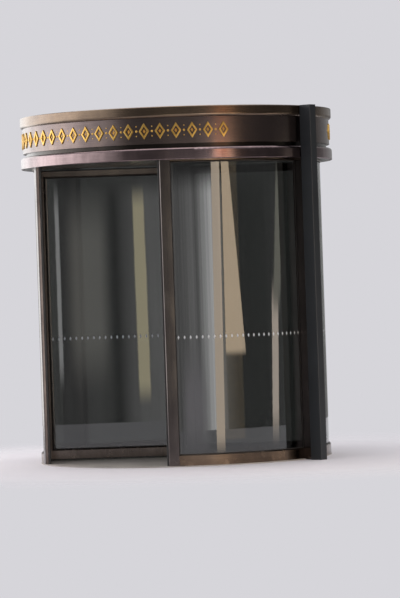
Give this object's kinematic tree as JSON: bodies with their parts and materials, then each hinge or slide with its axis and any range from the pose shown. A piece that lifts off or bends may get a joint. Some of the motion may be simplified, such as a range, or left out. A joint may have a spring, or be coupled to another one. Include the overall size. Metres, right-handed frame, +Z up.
{
  "type": "revolving door",
  "caption": "Revolving door with curved glass walls, a round bronze canopy with a recessed band, and a turning cross of glazed leaves on a centre shaft.",
  "frame": {"origin": "on the turning axis, at the underside of the floor plate, which is floor level", "axes": "-Y faces the street, +Y the lobby, +X runs along the facade to the right as seen from the street, +Z is up along the turning axis"},
  "size_m": [3.654, 3.3698, 3.73],
  "materials": {
    "satin_bronze": "satin",
    "dark_bronze": "satin",
    "dark_facade_paint": "satin",
    "clear_glass": "polished",
    "black_rubber": "matte",
    "black_brush": "matte",
    "machined_steel": "machined",
    "pale_floor_stone": "honed"
  },
  "bodies": {
    "drum": {"floor_plate": "pale_floor_stone", "floor_bearing": "machined_steel", "left_street_post": "satin_bronze", "right_street_post": "satin_bronze", "left_lobby_post": "satin_bronze", "right_lobby_post": "satin_bronze", "street_safety_edges": "black_rubber", "lobby_safety_edges": "black_rubber", "left_street_sill": "satin_bronze", "right_street_sill": "satin_bronze", "left_lobby_sill": "satin_bronze", "right_lobby_sill": "satin_bronze", "left_street_head": "satin_bronze", "right_street_head": "satin_bronze", "left_lobby_head": "satin_bronze", "right_lobby_head": "satin_bronze", "left_street_glass": "clear_glass", "right_street_glass": "clear_glass", "left_lobby_glass": "clear_glass", "right_lobby_glass": "clear_glass", "left_jamb": "satin_bronze", "right_jamb": "satin_bronze", "left_facade_post": "dark_facade_paint", "right_facade_post": "dark_facade_paint", "ceiling_plate": "dark_bronze", "canopy_carrier": "dark_bronze", "fascia_lower_band": "satin_bronze", "fascia_panel": "satin_bronze", "fascia_top_band": "satin_bronze", "canopy_roof": "dark_facade_paint", "top_bearing": "machined_steel"},
    "rotor": {"centre_shaft": "satin_bronze", "bottom_hub": "satin_bronze", "top_hub": "satin_bronze", "leaf_1_frame": "satin_bronze", "leaf_2_frame": "satin_bronze", "leaf_3_frame": "satin_bronze", "leaf_4_frame": "satin_bronze", "leaf_1_glass": "clear_glass", "leaf_2_glass": "clear_glass", "leaf_3_glass": "clear_glass", "leaf_4_glass": "clear_glass", "leaf_1_brushes": "black_brush", "leaf_2_brushes": "black_brush", "leaf_3_brushes": "black_brush", "leaf_4_brushes": "black_brush"}
  },
  "joints": [
    {"name": "rotor_spin", "type": "hinge", "parent": "drum", "child": "rotor", "pos_m": [0, 0, 0], "axis": [0, 0, 1], "continuous": true}
  ]
}
